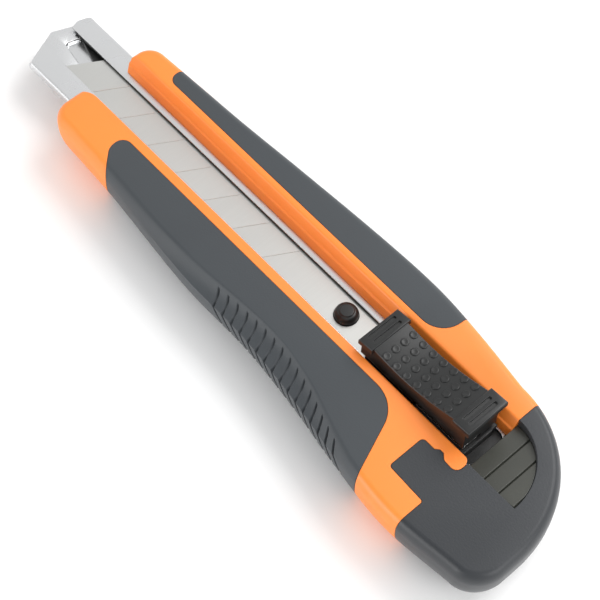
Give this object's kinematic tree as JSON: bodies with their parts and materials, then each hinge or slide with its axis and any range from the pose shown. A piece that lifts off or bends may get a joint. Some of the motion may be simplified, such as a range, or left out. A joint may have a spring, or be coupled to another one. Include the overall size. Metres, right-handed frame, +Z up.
{
  "type": "utility knife",
  "caption": "Snap-off utility knife: orange handle with soft grey side grips, steel blade channel, sliding thumb lock and pull-off end cap.",
  "frame": {"origin": "on the ground under the middle line of the blade and rail, near the knife's middle", "axes": "+X toward the blade's tip, +Y to the knife's left where the cutting edge is, +Z up out of the thumb slider"},
  "size_m": [0.1706, 0.0463, 0.0228],
  "materials": {
    "orange_abs": "satin moulded",
    "grey_tpr": "fine matte",
    "black_abs": "satin moulded",
    "ramp_black": "satin moulded",
    "rail_steel": "bright rolled",
    "blade_steel": "ground satin",
    "spring_steel": "bright"
  },
  "bodies": {
    "handle": {"handle_shell": "orange_abs", "grip_left": "grey_tpr", "grip_right": "grey_tpr", "rail": "rail_steel", "lock_rack": "spring_steel"},
    "carriage": {"carrier": "black_abs", "leaf_spring": "spring_steel", "blade_segment_1": "blade_steel", "blade_segment_2": "blade_steel", "blade_segment_3": "blade_steel", "blade_segment_4": "blade_steel", "blade_segment_5": "blade_steel", "blade_segment_6": "blade_steel", "blade_segment_7": "blade_steel", "blade_segment_8": "blade_steel"},
    "thumb": {"thumb_piece": "black_abs"},
    "pawl": {"lock_pawl": "black_abs"},
    "cap": {"cap_shell": "grey_tpr", "cap_core": "black_abs", "cap_ramp": "ramp_black"}
  },
  "joints": [
    {"name": "blade_slide", "type": "slide", "parent": "handle", "child": "carriage", "axis": [1, 0, 0], "range_m": [0, 0.08]},
    {"name": "thumb_press", "type": "slide", "parent": "carriage", "child": "thumb", "axis": [0, 0, -1], "range_m": [0, 0.001], "stiffness_N_per_m": 400, "springref_m": -0.0005},
    {"name": "pawl_release", "type": "slide", "parent": "carriage", "child": "pawl", "axis": [0, -1, 0], "range_m": [0, 0.0008]},
    {"name": "cap_pull", "type": "slide", "parent": "handle", "child": "cap", "axis": [-1, 0, 0], "range_m": [0, 0.03]}
  ],
  "couplings": [
    {"joint": "pawl_release", "follows": "thumb_press", "ratio": 0.8}
  ]
}
